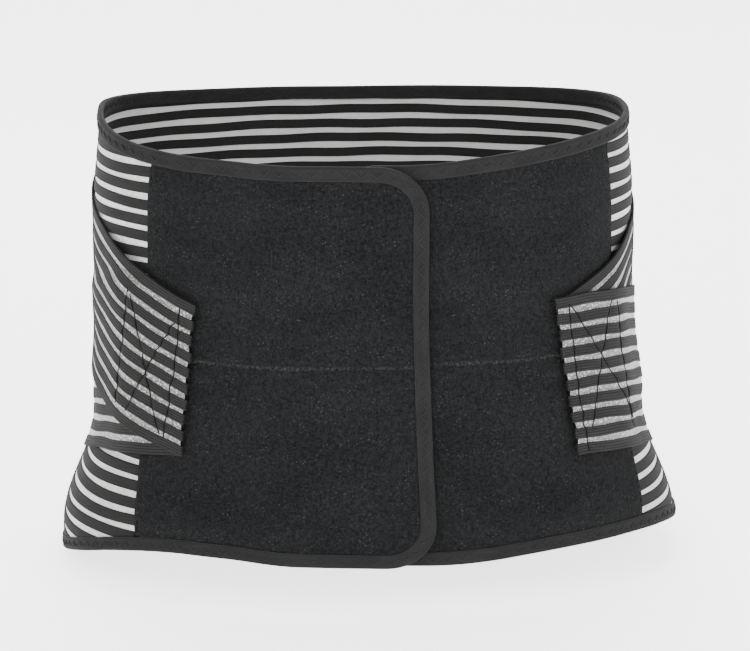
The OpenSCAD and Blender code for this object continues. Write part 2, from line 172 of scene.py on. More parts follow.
def place(t, z, off):
    """Points in metres at angles, heights and distances off the skin."""
    t, z, off = np.broadcast_arrays(np.asarray(t, float), np.asarray(z, float), np.asarray(off, float))
    c, s = np.cos(np.radians(t)), np.sin(np.radians(t))
    a = half_width(z) + off
    b = np.where(s > 0, FRONT_HALF_DEPTH, BACK_HALF_DEPTH) + HIP_HALF_DEPTH * flare(z) + off
    r = ((np.abs(c) / a) ** SQUARENESS + (np.abs(s) / b) ** SQUARENESS) ** (-1 / SQUARENESS)
    return np.stack([r * c + HIP_LEAN * ease((40 - z) / 120), -r * s, z], -1) * MM


def edge_height(keys, t):
    """Height of an edge of the belt, its key points rounded off."""
    spread = np.asarray(t, float)[..., None] + np.linspace(-EDGE_ROUNDING, EDGE_ROUNDING, 7)
    return np.interp((spread + 90) % 360 - 90, keys[:, 0], keys[:, 1]).mean(-1)


def top_height(t):
    return edge_height(TOP_EDGE, t)


def bottom_height(t):
    return edge_height(BOTTOM_EDGE, t)


def lift(t):
    """How far the outer panel stands off the skin where it laps over the inner panel."""
    return OVERLAP_LIFT * ease((LIFT_END - t) / (LIFT_END - LIFT_START))


def rate(t):
    """Millimetres along the skin for one degree."""
    return np.linalg.norm(place(t + 0.5, 0, 0) - place(t - 0.5, 0, 0), axis=-1) / MM


def left_seam_at(z):
    """Angle of the left seam at a height."""
    return LEFT_SEAM - 0.01 * z + 2.5 * ease(-z / 40) - 3.6 * flare(z)


def right_seam_at(z):
    """Angle of the right seam at a height."""
    return RIGHT_SEAM + 0.02 * z - 2.5 * ease(-z / 40) + 5 * flare(z)


def waves(u, v, seed, length, count=8):
    """Smooth undulation between about -1 and 1, with wavelengths round a length in millimetres."""
    random = np.random.default_rng(seed)
    total = 0
    for _ in range(count):
        heading = random.uniform(0, math.tau)
        number = math.tau / (length * random.uniform(0.7, 1.6))
        phase = random.uniform(0, math.tau)
        total = total + np.sin(number * (np.cos(heading) * u + np.sin(heading) * v) + phase)
    return total / count ** 0.5 / 1.4


# ---- mesh building

def add_object(name, mesh, materials):
    thing = bpy.data.objects.new(name, mesh)
    bpy.context.scene.collection.objects.link(thing)
    for material in materials:
        mesh.materials.append(material)
    return thing


def build(name, points, faces, materials, kinds=None, cloth=None, sharp=50, weld=2e-6):
    """A closed mesh object. kinds gives each face's material, cloth each point's place on the flat cloth."""
    mesh = bpy.data.meshes.new(name)
    mesh.from_pydata(np.asarray(points).tolist(), [], [list(map(int, f)) for f in faces])
    if kinds is not None:
        mesh.polygons.foreach_set("material_index", np.asarray(kinds, np.int32))
    if cloth is not None:
        layer = mesh.uv_layers.new(name="cloth")
        corner = np.zeros(len(mesh.loops), np.int32)
        mesh.loops.foreach_get("vertex_index", corner)
        layer.data.foreach_set("uv", (np.asarray(cloth) * MM)[corner].astype(np.float32).ravel())
    tidy = bmesh.new()
    tidy.from_mesh(mesh)
    bmesh.ops.remove_doubles(tidy, verts=tidy.verts, dist=weld)
    bmesh.ops.dissolve_degenerate(tidy, edges=tidy.edges, dist=weld / 4)
    bmesh.ops.recalc_face_normals(tidy, faces=tidy.faces)
    tidy.to_mesh(mesh)
    tidy.free()
    mesh.shade_smooth()
    mesh.set_sharp_from_angle(angle=math.radians(sharp))
    return add_object(name, mesh, materials)


def quads(a, b, c, d):
    """Four-sided faces from four grids of point numbers."""
    return np.stack([x.ravel() for x in (a, b, c, d)], 1)


def solid_sheet(name, outer, inner, cloth, materials, kinds=None, sharp=50, lining=0):
    """A closed sheet between two grids of points, columns by rows.

    cloth is each point's place on the flat cloth in millimetres, and kinds the material of the strip
    between each row and the next. The inner face's materials come lining places later in the list.
    """
    columns, rows = outer.shape[:2]
    near = np.arange(columns * rows).reshape(columns, rows)
    far = near + columns * rows
    strip = np.zeros(rows - 1, int) if kinds is None else np.asarray(kinds, int)
    skin = np.tile(strip, columns - 1)
    faces = [
        quads(near[:-1, :-1], near[:-1, 1:], near[1:, 1:], near[1:, :-1]),
        quads(far[:-1, :-1], far[1:, :-1], far[1:, 1:], far[:-1, 1:]),
        quads(near[:-1, 0], near[1:, 0], far[1:, 0], far[:-1, 0]),
        quads(near[1:, -1], near[:-1, -1], far[:-1, -1], far[1:, -1]),
        quads(near[0, 1:], near[0, :-1], far[0, :-1], far[0, 1:]),
        quads(near[-1, :-1], near[-1, 1:], far[-1, 1:], far[-1, :-1]),
    ]
    edge = np.zeros(columns - 1, int)
    face_kinds = np.concatenate([skin, skin + lining, edge, edge, strip, strip])
    points = np.concatenate([outer.reshape(-1, 3), inner.reshape(-1, 3)])
    flat = np.concatenate([cloth.reshape(-1, 2), cloth.reshape(-1, 2)])
    return build(name, points, np.concatenate(faces), materials, face_kinds, flat, sharp)


def tube_parts(path, radius, sides):
    """Points and faces of a closed thread along a path of points in metres."""
    path = np.asarray(path, float)
    ahead = np.gradient(path, axis=0)
    ahead /= np.maximum(np.linalg.norm(ahead, axis=1, keepdims=True), 1e-12)
    up = np.cross(ahead[0], (0.3, 0.5, 0.81))
    ups = []
    for direction in ahead:
        up = up - direction * np.dot(up, direction)
        up = up / max(np.linalg.norm(up), 1e-12)
        ups.append(up)
    ups = np.array(ups)
    wide = np.cross(ahead, ups)
    turn = np.arange(sides) / sides * math.tau
    ring = np.cos(turn)[None, :, None] * ups[:, None] + np.sin(turn)[None, :, None] * wide[:, None]
    points = (path[:, None] + ring * radius * MM).reshape(-1, 3)
    index = np.arange(len(path) * sides).reshape(len(path), sides)
    after = np.roll(index, -1, axis=1)
    faces = quads(index[:-1], index[1:], after[1:], after[:-1]).tolist()
    faces.append(index[0].tolist())
    faces.append(index[-1][::-1].tolist())
    return points, faces


def threads(name, paths, radius, material, sides=5):
    """One object holding a thread along each path."""
    points, faces, count = [], [], 0
    for path in paths:
        some, around = tube_parts(path, radius, sides)
        points.append(some)
        faces += [[i + count for i in face] for face in around]
        count += len(some)
    return build(name, np.concatenate(points), faces, [material], sharp=80, weld=1e-9)


def even(a, b, spacing):
    """Even steps from a to b, about one spacing apart."""
    return np.linspace(a, b, max(2, int(math.ceil(abs(b - a) / spacing)) + 1))


def travelled(points):
    """Distance in millimetres along a line of points in metres."""
    gaps = np.linalg.norm(np.diff(points, axis=0), axis=1) / MM
    return np.concatenate([[0], np.cumsum(gaps)])


# ---- materials

class Nodes:
    """Builds one material's node tree. Texture scales are given as a pattern size in millimetres."""

    def __init__(self, name):
        self.material = bpy.data.materials.new(name)
        self.material.use_nodes = True
        self.tree = self.material.node_tree
        self.shader = self.tree.nodes["Principled BSDF"]
        self.cloth = self.add("ShaderNodeUVMap", uv_map="cloth").outputs["UV"]

    def feed(self, socket, value):
        """Links a socket or sets its value."""
        if isinstance(value, bpy.types.NodeSocket):
            self.tree.links.new(value, socket)
        else:
            socket.default_value = value

    def add(self, kind, inputs=None, **settings):
        node = self.tree.nodes.new(kind)
        for key, value in settings.items():
            setattr(node, key, value)
        for key, value in (inputs or {}).items():
            self.feed(node.inputs[key], value)
        return node

    def set(self, **values):
        """Feeds the shader's own sockets. Underscores stand for spaces."""
        for key, value in values.items():
            self.feed(self.shader.inputs[key.replace("_", " ")], value)

    def scaled(self, along, across=None):
        """The cloth's coordinates, one unit for each pattern size."""
        size = (1 / (along * MM), 1 / ((across or along) * MM), 1)
        return self.add("ShaderNodeMapping", {"Vector": self.cloth, "Scale": size}).outputs["Vector"]

    def noise(self, along, across=None, detail=3, rough=0.55):
        inputs = {"Vector": self.scaled(along, across), "Scale": 1.0, "Detail": detail, "Roughness": rough}
        return self.add("ShaderNodeTexNoise", inputs, noise_dimensions="2D").outputs["Fac"]

    def stripes(self, size, direction, distortion):
        inputs = {"Vector": self.scaled(size), "Scale": 1 / math.tau * 2, "Distortion": distortion}
        return self.add("ShaderNodeTexWave", inputs, bands_direction=direction).outputs["Fac"]

    def specks(self, size, share):
        """1 inside scattered dots, whose distance apart is about a size and whose radius is a share of it."""
        cells = self.add("ShaderNodeTexVoronoi", {"Vector": self.scaled(size), "Scale": 1.0},
                         voronoi_dimensions="2D").outputs["Distance"]
        return self.ramp(cells, share * 0.6, share, 1, 0)

    def ramp(self, value, low, high, low_out=0.0, high_out=1.0):
        inputs = {"Value": value, "From Min": low, "From Max": high, "To Min": low_out, "To Max": high_out}
        return self.add("ShaderNodeMapRange", inputs).outputs["Result"]

    def math(self, operation, a, b):
        return self.add("ShaderNodeMath", {0: a, 1: b}, operation=operation).outputs[0]

    def weighted(self, a, a_share, b, b_share):
        """The sum of a share of one value and a share of another."""
        return self.math("ADD", self.math("MULTIPLY", a, a_share), self.math("MULTIPLY", b, b_share))

    def blend(self, share, low, high):
        """A colour between two colours. A mix node's colours are inputs 6 and 7 and output 2."""
        return self.add("ShaderNodeMix", {0: share, 6: low, 7: high}, data_type="RGBA").outputs[2]

    def bump(self, height, depth):
        """Relief whose full height is a depth in millimetres."""
        inputs = {"Height": height, "Distance": depth * MM, "Strength": 1.0}
        self.set(Normal=self.add("ShaderNodeBump", inputs).outputs["Normal"])


def grey(value, warm=0.0):
    """A grey, warm or, below 0, cool."""
    return (value * (1 + warm), value, value * (1 - warm), 1)


def velour():
    """Brushed loop pile: clumped fibres, a brushed nap, pale lint, and pile crushed along the crease."""
    n = Nodes("loop_velour")
    nap = n.noise(38, 26, detail=4)
    clumps = n.noise(2.6, 3.2, detail=5, rough=0.75)
    fibres = n.noise(1.05, 1.25, detail=2, rough=0.8)
    pile = n.weighted(clumps, 0.45, fibres, 0.65)
    dark = n.blend(n.ramp(nap, 0.3, 0.7), grey(0.0035, -0.05), grey(0.005, -0.04))
    light = n.blend(n.ramp(nap, 0.3, 0.7), grey(0.0125, -0.04), grey(0.016, -0.03))
    base = n.blend(n.ramp(pile, 0.43, 0.74), dark, light)
    lint = n.math("MULTIPLY", n.specks(3.1, 0.13), n.ramp(n.noise(9, detail=2), 0.45, 0.75))
    split = n.add("ShaderNodeSeparateXYZ", {"Vector": n.cloth}).outputs
    sway = n.math("SINE", n.math("MULTIPLY", split["X"], 1 / (CREASE_WAVE * MM)), 0.0)
    line = n.math("ADD", n.math("MULTIPLY", sway, CREASE_SWAY * MM), CREASE_HEIGHT * MM)
    off_line = n.math("ABSOLUTE", n.math("SUBTRACT", split["Y"], line), 0.0)
    crushed = n.math("MULTIPLY", n.ramp(off_line, 0.0003, 0.0012, 1, 0), n.ramp(n.noise(1.4), 0.42, 0.62))
    crushed = n.math("MULTIPLY", crushed, n.ramp(n.noise(34, 90), 0.3, 0.62, 0.15, 0.9))
    base = n.blend(crushed, base, grey(0.03))
    n.set(Base_Color=n.blend(lint, base, grey(0.035)), Roughness=0.95, Sheen_Weight=0.025,
          Sheen_Roughness=0.5, Sheen_Tint=grey(0.6), Specular_IOR_Level=0.03)
    n.bump(pile, 0.5)
    return n.material


def rib_yarn(name, low, high):
    """Covered-rubber cords under a flat weft: fine courses across each rib."""
    n = Nodes(name)
    courses = n.stripes(0.85, "X", 1.2)
    cords = n.stripes(0.42, "Y", 0.8)
    fuzz = n.noise(0.7, 0.4, detail=4, rough=0.7)
    drift = n.noise(30, 6, detail=2)
    weave = n.weighted(courses, 0.45, cords, 0.3)
    weave = n.math("ADD", weave, n.math("MULTIPLY", fuzz, 0.4))
    shade = n.weighted(weave, 0.7, drift, 0.35)
    n.set(Base_Color=n.blend(n.ramp(shade, 0.3, 0.95), grey(low, 0.02), grey(high, 0.02)), Roughness=0.78,
          Sheen_Weight=0.015, Sheen_Roughness=0.4, Specular_IOR_Level=0.06)
    n.bump(weave, 0.16)
    return n.material


def monofilament(name, low, high, bright, glitter):
    """Clear nylon filaments laid across the gap between ribs, bright where they catch the light."""
    n = Nodes(name)
    strands = n.stripes(0.75, "X", 1.6)
    slant = n.noise(1.1, 2.4, detail=3, rough=0.75)
    cloud = n.noise(7, 4, detail=3)
    sparkle = n.ramp(n.noise(1.5, 1.2, detail=2, rough=0.9), 0.53, 0.68)
    net = n.weighted(strands, 0.35, slant, 0.65)
    shade = n.weighted(net, 0.6, cloud, 0.4)
    body = n.blend(n.ramp(shade, 0.3, 0.75), grey(low, 0.012), grey(high, 0.008))
    n.set(Base_Color=n.blend(n.math("MULTIPLY", sparkle, glitter), body, grey(bright)),
          Roughness=0.42, Specular_IOR_Level=0.55, Sheen_Weight=0.1)
    n.bump(net, 0.12)
    return n.material


def tape_weave(name, low, high, size=0.9):
    """A flat tape with a fine slanting twill."""
    n = Nodes(name)
    scale = (1 / (size * MM), 1 / (size * MM), 1)
    inputs = {"Vector": n.cloth, "Rotation": (0, 0, math.radians(52)), "Scale": scale}
    turned = n.add("ShaderNodeMapping", inputs).outputs["Vector"]
    inputs = {"Vector": turned, "Scale": 1 / math.pi, "Distortion": 0.6}
    twill = n.add("ShaderNodeTexWave", inputs).outputs["Fac"]
    fuzz = n.noise(0.6, detail=4, rough=0.75)
    wear = n.noise(16, 5, detail=3)
    weave = n.weighted(twill, 0.5, fuzz, 0.5)
    shade = n.weighted(weave, 0.65, wear, 0.4)
    n.set(Base_Color=n.blend(n.ramp(shade, 0.3, 0.85), grey(low), grey(high)), Roughness=0.85,
          Sheen_Weight=0.02, Sheen_Roughness=0.4, Specular_IOR_Level=0.06)
    n.bump(weave, 0.14)
    return n.material


def lining_knit():
    """A smooth warp knit with rows of small loops."""
    n = Nodes("lining_knit")
    wales = n.stripes(1.3, "X", 0.7)
    courses = n.stripes(0.9, "Y", 0.9)
    fuzz = n.noise(0.8, detail=3)
    knit = n.weighted(n.math("MULTIPLY", wales, courses), 0.8, fuzz, 0.3)
    n.set(Base_Color=n.blend(n.ramp(knit, 0.1, 0.9), grey(0.008), grey(0.022)), Roughness=0.88,
          Sheen_Weight=0.05, Specular_IOR_Level=0.1)
    n.bump(knit, 0.2)
    return n.material


def hook_nylon():
    """Spun nylon with a faint mottle."""
    n = Nodes("hook_nylon")
    mottle = n.noise(1.6, detail=4, rough=0.7)
    n.set(Base_Color=n.blend(n.ramp(mottle, 0.3, 0.7), grey(0.006), grey(0.012)),
          Roughness=n.ramp(mottle, 0.2, 0.8, 0.37, 0.55), Specular_IOR_Level=0.4)
    n.bump(mottle, 0.05)
    return n.material


def sewing_thread(name, low, high):
    """Spun polyester thread."""
    n = Nodes(name)
    ply = n.add("ShaderNodeTexNoise", {"Scale": 900.0, "Detail": 3.0}).outputs["Fac"]
    n.set(Base_Color=n.blend(n.ramp(ply, 0.3, 0.7), grey(low), grey(high)), Roughness=0.7,
          Specular_IOR_Level=0.08)
    n.bump(ply, 0.05)
    return n.material


def spring_steel():
    """Rolled spring steel: long faint grind lines and a few darker patches."""
    n = Nodes("spring_steel")
    where = n.add("ShaderNodeTexCoord").outputs["Object"]
    lines = n.add("ShaderNodeMapping", {"Vector": where, "Scale": (2500, 2500, 18)}).outputs["Vector"]
    grind = n.add("ShaderNodeTexNoise", {"Vector": lines, "Scale": 1.0, "Detail": 4.0}).outputs["Fac"]
    patches = n.add("ShaderNodeTexNoise", {"Vector": where, "Scale": 60.0, "Detail": 4.0}).outputs["Fac"]
    n.set(Base_Color=n.blend(n.ramp(patches, 0.4, 0.7), grey(0.48), grey(0.33, 0.03)), Metallic=1.0,
          Roughness=n.ramp(grind, 0.3, 0.7, 0.24, 0.42))
    n.bump(grind, 0.02)
    return n.material


def dipped_plastic():
    """Soft white plastic dip with an uneven skin."""
    n = Nodes("dipped_plastic")
    where = n.add("ShaderNodeTexCoord").outputs["Object"]
    skin = n.add("ShaderNodeTexNoise", {"Vector": where, "Scale": 500.0, "Detail": 3.0}).outputs["Fac"]
    n.set(Base_Color=n.blend(n.ramp(skin, 0.3, 0.7), grey(0.68, 0.01), grey(0.78, 0.01)),
          Roughness=0.4, Specular_IOR_Level=0.45)
    n.bump(skin, 0.08)
    return n.material


VELOUR = velour()
BODY_RIB = rib_yarn("body_rib", 0.008, 0.02)
BODY_WEB = monofilament("body_web", 0.28, 0.54, 0.8, 0.4)
# Copies of the rib and web for the belt's inside, the rib darker and the web with fewer glints: painted shade
# inside the back
SHADED_INNER_RIB = rib_yarn("inner_rib_shaded", 0.008, 0.016)
SHADED_INNER_WEB = monofilament("inner_web_shaded", 0.36, 0.45, 0.52, 0.1)
STRAP_RIB = rib_yarn("strap_rib", 0.009, 0.026)
STRAP_WEB = monofilament("strap_web", 0.01, 0.1, 0.5, 0.75)
# Near black: painted shade in the cord grooves and at the ribs' edges on the straps
GROOVE_SHADE = rib_yarn("cord_groove_shade", 0.002, 0.005)
TAPE = tape_weave("binding_tape", 0.008, 0.019)
POCKET_CLOTH = tape_weave("pocket_cloth", 0.005, 0.013, 1.2)
LINING = lining_knit()
HOOK = hook_nylon()
BINDING_THREAD = sewing_thread("binding_thread", 0.011, 0.022)
DARK_THREAD = sewing_thread("dark_thread", 0.001, 0.003)


# ---- ladder elastic

RIB, WEB, CUT = 0, 1, 2


def ladder(count, cords=4, grooved=False):
    """Cross-section rows of ladder elastic, for a number of ribs.

    Returns each row's place in pitches from the first rib's lower edge, its height from 0 in the web
    to 1 on a cord's crown, and the kind of the strip up to the next row. A grooved rib has a cut
    between its cords. On the straps every cut strip, in a groove or at a rib's edge, is near black: painted
    shade.
    """
    where, height, kind = [], [], []
    for rib in range(count):
        rows = [(0, 0, CUT), (0.035, 0.66, RIB)]
        for cord in range(cords):
            if cord and grooved:
                rows += [((cord - 0.09) / cords, 0.86, CUT), (cord / cords, 0.6, CUT),
                         ((cord + 0.09) / cords, 0.86, RIB)]
            elif cord:
                rows.append((cord / cords, 0.74, RIB))
            rows += [((cord + 0.3) / cords, 0.97, RIB), ((cord + 0.7) / cords, 0.97, RIB)]
        rows += [(0.965, 0.66, CUT), (1, 0, WEB)]
        where += [rib + share * RIB_SHARE for share, _, _ in rows]
        height += [tall for _, tall, _ in rows]
        kind += [strip for _, _, strip in rows]
    return np.array(where), np.array(height), np.array(kind[:-1])


# Half the web's thickness, how much lower the ribs sit on the back, and the lowest rib of them all
WEB_HALF = 0.17
BACK_SAG = 2.8
LOWEST_RIB = -126.4
RIBS_IN_BODY = 31


def body_elastic(name, seam_at):
    """Half of the belt's body, from a front seam round to the middle of the back."""
    seam = seam_at(0)
    end = BACK_MIDDLE if seam > 90 else BACK_MIDDLE - 360
    base = np.concatenate([[seam], even(seam, end, 1.25)[1:]])
    share = np.clip(1 - np.abs(base - seam) / 30, 0, 1)
    where, height, kinds = ladder(RIBS_IN_BODY)
    level = LOWEST_RIB + where * RIB_PITCH
    t = base[:, None] + share[:, None] * (seam_at(level[None]) - seam)
    rib = np.floor(where + 0.19)[None]
    turned = t % 360
    drift = 0.22 * np.sin(turned / 9.0 + rib * 2.3) + 0.16 * np.sin(turned / 3.7 + rib * 5.1)
    from_back = np.abs(turned - BACK_MIDDLE + 360 * (turned < 90))
    z = level[None] + drift - BACK_SAG * ease((90 - from_back) / 50)
    low, high = bottom_height(t) + 1.2, top_height(t) - 1.2
    outside = (z < low) | (z > high)
    half = mix(WEB_HALF, ELASTIC_THICKNESS / 2 - 0.02, height)[None] * (1 + 0.04 * np.sin(turned / 5 + rib))
    half = np.where(outside, 0.3, half)
    z = np.clip(z, low, high)
    middle = ELASTIC_THICKNESS / 2
    outer, inner = place(t, z, middle + half), place(t, z, middle - half)
    along = travelled(place(base, 0, 0))[:, None] + 0 * z
    # The inside face takes the shaded copies of the rib and web, painted shade
    return solid_sheet(name, outer, inner, np.stack([along, level[None] + 0 * z], -1),
                       [BODY_RIB, BODY_WEB, BODY_RIB, SHADED_INNER_RIB, SHADED_INNER_WEB, SHADED_INNER_WEB], kinds, sharp=65,
                       lining=3)


# ---- front panels

# How far a panel lies inside its tape's fold, and the degrees between its columns
PANEL_INSET = 0.8
PANEL_STEP = 1.7 / 2.1


def panel_outline(lead, way, seam_at):
    """Columns of a panel from its leading edge to its seam: base angle, corner drop and lean share."""
    seam = seam_at(0)
    radius = CORNER_RADIUS - PANEL_INSET
    arc = np.radians(np.linspace(0, 90, 13))[:-1]
    arc_end = lead + way * CORNER_RADIUS / rate(90)
    corner = lead + way * (CORNER_RADIUS - radius * np.cos(arc)) / rate(90)
    flat = even(arc_end, seam, PANEL_STEP)
    base = np.concatenate([corner, flat])
    drop = np.concatenate([radius * (1 - np.sin(arc)), np.zeros(len(flat))])
    return base, drop, np.clip((base - arc_end) / (seam - arc_end), 0, 1)


def panel_grid(lead, way, seam_at, rows=118):
    """Angles and heights of a panel's grid, and its distance from the bound edges."""
    base, drop, share = panel_outline(lead, way, seam_at)
    v = np.linspace(0, 1, rows)[None]
    low = bottom_height(base) + PANEL_INSET + drop
    high = top_height(base) - PANEL_INSET - drop
    z = mix(low[:, None], high[:, None], v)
    t = base[:, None] + share[:, None] * (seam_at(z) - seam_at(0))
    edge = np.minimum(z - bottom_height(base)[:, None] - drop[:, None] * 0.7,
                      top_height(base)[:, None] - drop[:, None] * 0.7 - z)
    edge = np.minimum(edge, np.abs(t - lead) * rate(90))
    seam_gap = np.abs(t - seam_at(z)) * rate(seam_at(0))
    along = travelled(place(base, 0, 0))[:, None] + 0 * z
    return t, z, edge, seam_gap, np.stack([along, z], -1)


def panel_pad(name, lead, way, seam_at, raised, seed):
    """A foam panel with its loop face: crowned, pulled in at its bound edges, creased across the middle."""
    t, z, edge, seam_gap, cloth = panel_grid(lead, way, seam_at)
    u = cloth[..., 0]
    floor = raised(t)
    crown = mix(BOUND_THICKNESS, PANEL_THICKNESS + 0.35, ease((edge - TAPE_WIDTH + 1.2) / 13))
    crown = crown - 1.1 * (1 - ease(seam_gap / 4.5)) ** 1.5
    line = CREASE_HEIGHT + CREASE_SWAY * np.sin(u / CREASE_WAVE)
    crease = (0.75 + 0.2 * np.sin(u / 9 + seed)) * np.exp(-((z - line) / 1.3) ** 2)
    puff = 0.25 * np.exp(-((np.abs(z - line) - 7) / 5) ** 2)
    inside = ease((edge - TAPE_WIDTH + 0.5) / 12) * ease(seam_gap / 10)
    soft = 0.42 * waves(u, z * 0.6, seed, 70) + 0.2 * waves(u, z * 0.8, seed + 1, 26)
    grain = 0.05 * waves(u, z, seed + 2, 5, 14)
    outer_off = floor + crown + inside * (soft + puff + grain - crease)
    inner_off = floor + LINING_THICKNESS
    return solid_sheet(name, place(t, z, outer_off), place(t, z, inner_off), cloth, [VELOUR], sharp=60)


def panel_lining(name, lead, way, seam_at, raised, seed):
    """The thin knit on a panel's inside."""
    t, z, _, _, cloth = panel_grid(lead, way, seam_at, rows=60)
    relief = 0.07 * waves(cloth[..., 0], z, seed, 18)
    floor = raised(t)
    return solid_sheet(name, place(t, z, floor + LINING_THICKNESS - 0.06), place(t, z, floor + 0.1 + relief),
                       cloth, [LINING], sharp=60)


def flat_on_skin(t):
    """No rise: the inner panel lies straight on the skin."""
    return 0 * t


# ---- binding

def binding_path(lead, way, hinge_side):
    """The route of a binding round one half of the belt, from the middle of the back and back again.

    Each entry is (angle, edge, arc): edge is 1 on the top edge, -1 on the bottom edge and 0 down the
    leading edge. On a corner, arc is its angle in radians, and down the leading edge it is the height.
    """
    arc_end = lead + way * CORNER_RADIUS / rate(90)
    back = BACK_MIDDLE if hinge_side > 90 else BACK_MIDDLE - 360
    along = even(back, arc_end, 1.1)
    corner = np.radians(np.linspace(90, 0, 13))[1:]
    down = even(top_height(lead) - CORNER_RADIUS, bottom_height(lead) + CORNER_RADIUS, 2.4)
    route = [(t, 1, None) for t in along]
    route += [(lead, 1, a) for a in corner]
    route += [(lead, 0, z) for z in down[1:-1]]
    route += [(lead, -1, a) for a in corner[::-1]]
    route += [(t, -1, None) for t in along[::-1]]
    return route


def tape_spot(stop, lead, way, depth):
    """Angle and height at a depth in from the edge, at one stop on a binding's route."""
    t, edge, arc = stop
    if edge == 0:
        return lead + way * depth / rate(90), arc + 0 * depth
    height = top_height if edge == 1 else bottom_height
    if arc is None:
        return t + 0 * depth, height(t) - edge * depth
    reach = CORNER_RADIUS - (CORNER_RADIUS - depth) * np.cos(arc)
    fall = CORNER_RADIUS - (CORNER_RADIUS - depth) * np.sin(arc)
    at = lead + way * reach / rate(90)
    return at, height(at) - edge * fall


def grip_thickness(t, seam):
    """Thickness of what the tape holds: thin elastic, or the pressed edge of a panel."""
    past = (seam - t) if seam > 90 else (t - seam)
    return mix(ELASTIC_THICKNESS, BOUND_THICKNESS, ease((past + 6) / 6))


ZIGZAG_STEP = 3.7
FOLD_DEPTH = 1.3


def binding(name, lead, way, seam, raised):
    """Folded tape round one half of the belt, and the zigzag thread on its two flaps."""
    route = binding_path(lead, way, seam)
    flap = np.linspace(TAPE_WIDTH, FOLD_DEPTH, 9)
    fold = np.radians(np.linspace(90, -90, 9))
    depth = np.concatenate([flap, FOLD_DEPTH - FOLD_DEPTH * np.cos(fold)[1:-1], flap[::-1]])
    side = np.concatenate([-np.ones(9), -np.sin(fold)[1:-1], np.ones(9)])
    pinch = np.ones(len(depth))
    pinch[[0, -1]] = 0.45
    outer, inner, cloth, centre = [], [], [], []
    for stop in route:
        at, z = tape_spot(stop, lead, way, depth)
        centre.append(place(at[4], z[4], 0))
    run = travelled(np.array(centre))
    random = np.random.default_rng(11)
    wobble = np.interp(run, np.linspace(0, run[-1], 90), random.uniform(-0.35, 0.35, 90))
    for stop, distance, shift in zip(route, run, wobble):
        wide = depth * (1 + shift / TAPE_WIDTH * (depth > 2))
        at, z = tape_spot(stop, lead, way, wide)
        half = grip_thickness(at, seam) / 2
        middle = raised(at) + half
        stitch = np.exp(-((wide - TAPE_WIDTH / 2 - 0.2) / 2.3) ** 2)
        pucker = 0.1 * stitch * (1 + np.cos(distance / ZIGZAG_STEP * math.pi)) + 0.12 * stitch
        selvedge = 0.1 * np.exp(-((wide - TAPE_WIDTH + 0.6) / 0.5) ** 2)
        outside = middle + side * (half + 0.06 + TAPE_THICKNESS * pinch - pucker + selvedge)
        inside = middle + side * (half + 0.04 - pucker * 0.5)
        inner_at, inner_z = tape_spot(stop, lead, way, np.maximum(wide, TAPE_THICKNESS))
        outer.append(place(at, z, outside))
        inner.append(place(inner_at, inner_z, inside))
        across = np.cumsum(np.r_[0, np.hypot(np.diff(depth), np.diff(side) * 1.3)])
        cloth.append(np.stack([np.full(len(depth), distance), across], -1))
    tape = solid_sheet(name, np.array(outer), np.array(inner), np.array(cloth), [TAPE], sharp=70)
    return tape, zigzag(name + "_zigzag", route, run, lead, way, seam, raised)


def zigzag(name, route, run, lead, way, seam, raised):
    """Zigzag thread along both flaps of a binding, and the corded selvedge at each flap's edge."""
    corners = int(run[-1] // ZIGZAG_STEP)
    places = np.arange(corners * 4 + 1) / 4 * ZIGZAG_STEP
    swing = np.abs((places / ZIGZAG_STEP) % 2 - 1)
    needle = np.isclose(swing, 0) | np.isclose(swing, 1)
    stitch = (mix(2.1, TAPE_WIDTH - 1.9, swing), TAPE_THICKNESS + np.where(needle, -0.2, 0.1))
    cord = (0 * places + TAPE_WIDTH - 0.2, 0 * places + TAPE_THICKNESS * 0.5)
    paths = []
    for face in (1, -1):
        for depths, heights in (stitch, cord):
            path = []
            for distance, depth, height in zip(places, depths, heights):
                i = min(int(np.searchsorted(run, distance, side="right")) - 1, len(route) - 2)
                share = (distance - run[i]) / max(run[i + 1] - run[i], 1e-9)
                ends = []
                for stop in (route[i], route[i + 1]):
                    at, z = tape_spot(stop, lead, way, np.array([depth]))
                    half = grip_thickness(at, seam) / 2
                    off = raised(at) + half + face * (half + height)
                    ends.append(place(at, z, off)[0])
                path.append(mix(ends[0], ends[1], share))
            paths.append(np.array(path))
    return threads(name, paths, 0.24, BINDING_THREAD)


# ---- straps

RIBS_IN_STRAP = 10
STRAP_SPAN = RIBS_IN_STRAP - 1 + RIB_SHARE
DEGREE_ON_TAB = 1.9


def strap_angle(left, s):
    """The angle at an s on either side."""
    return LEFT_TAB + s if left else RIGHT_TAB - s


def strap_height(left, upper, s, v):
    """Height of a strap at s, for v from -1 at its lower edge to 1 at its upper edge."""
    middle = LEFT_TAB_HEIGHT if left else RIGHT_TAB_HEIGHT
    if upper:
        middle = middle + UPPER_RISE * np.sin(np.radians(90 * s / STRAP_REACH))
    else:
        middle = middle - LOWER_DROP / 2 * (1 - np.cos(np.radians(180 * s / STRAP_REACH)))
    return middle + v * (STRAP_HALF_HEIGHT + (4 if upper else 1) * ease(s / 22))


def strap_base(left, upper, s, z):
    """Inner face of a strap. The one on top settles where it has passed the other one's edge."""
    under = mix(STRAP_ON_TAB, STRAP_ON_ELASTIC, ease((s - 13) / 13))
    if left != upper:
        return under
    edge = strap_height(left, not upper, s, 1 if upper else -1)
    past = z - edge if upper else edge - z
    return under + STRAP_LAYER * (1 - ease((past - 2) / 10))


def tab_end(v):
    """The leaning cut edge of a tab, as an s."""
    return -TAB_OVERHANG - TAB_LEAN * v


def strap_point(left, upper, s, v, above):
    """A point at a height above a strap's inner face."""
    z = strap_height(left, upper, s, v)
    return place(strap_angle(left, s), z, strap_base(left, upper, s, z) + above)


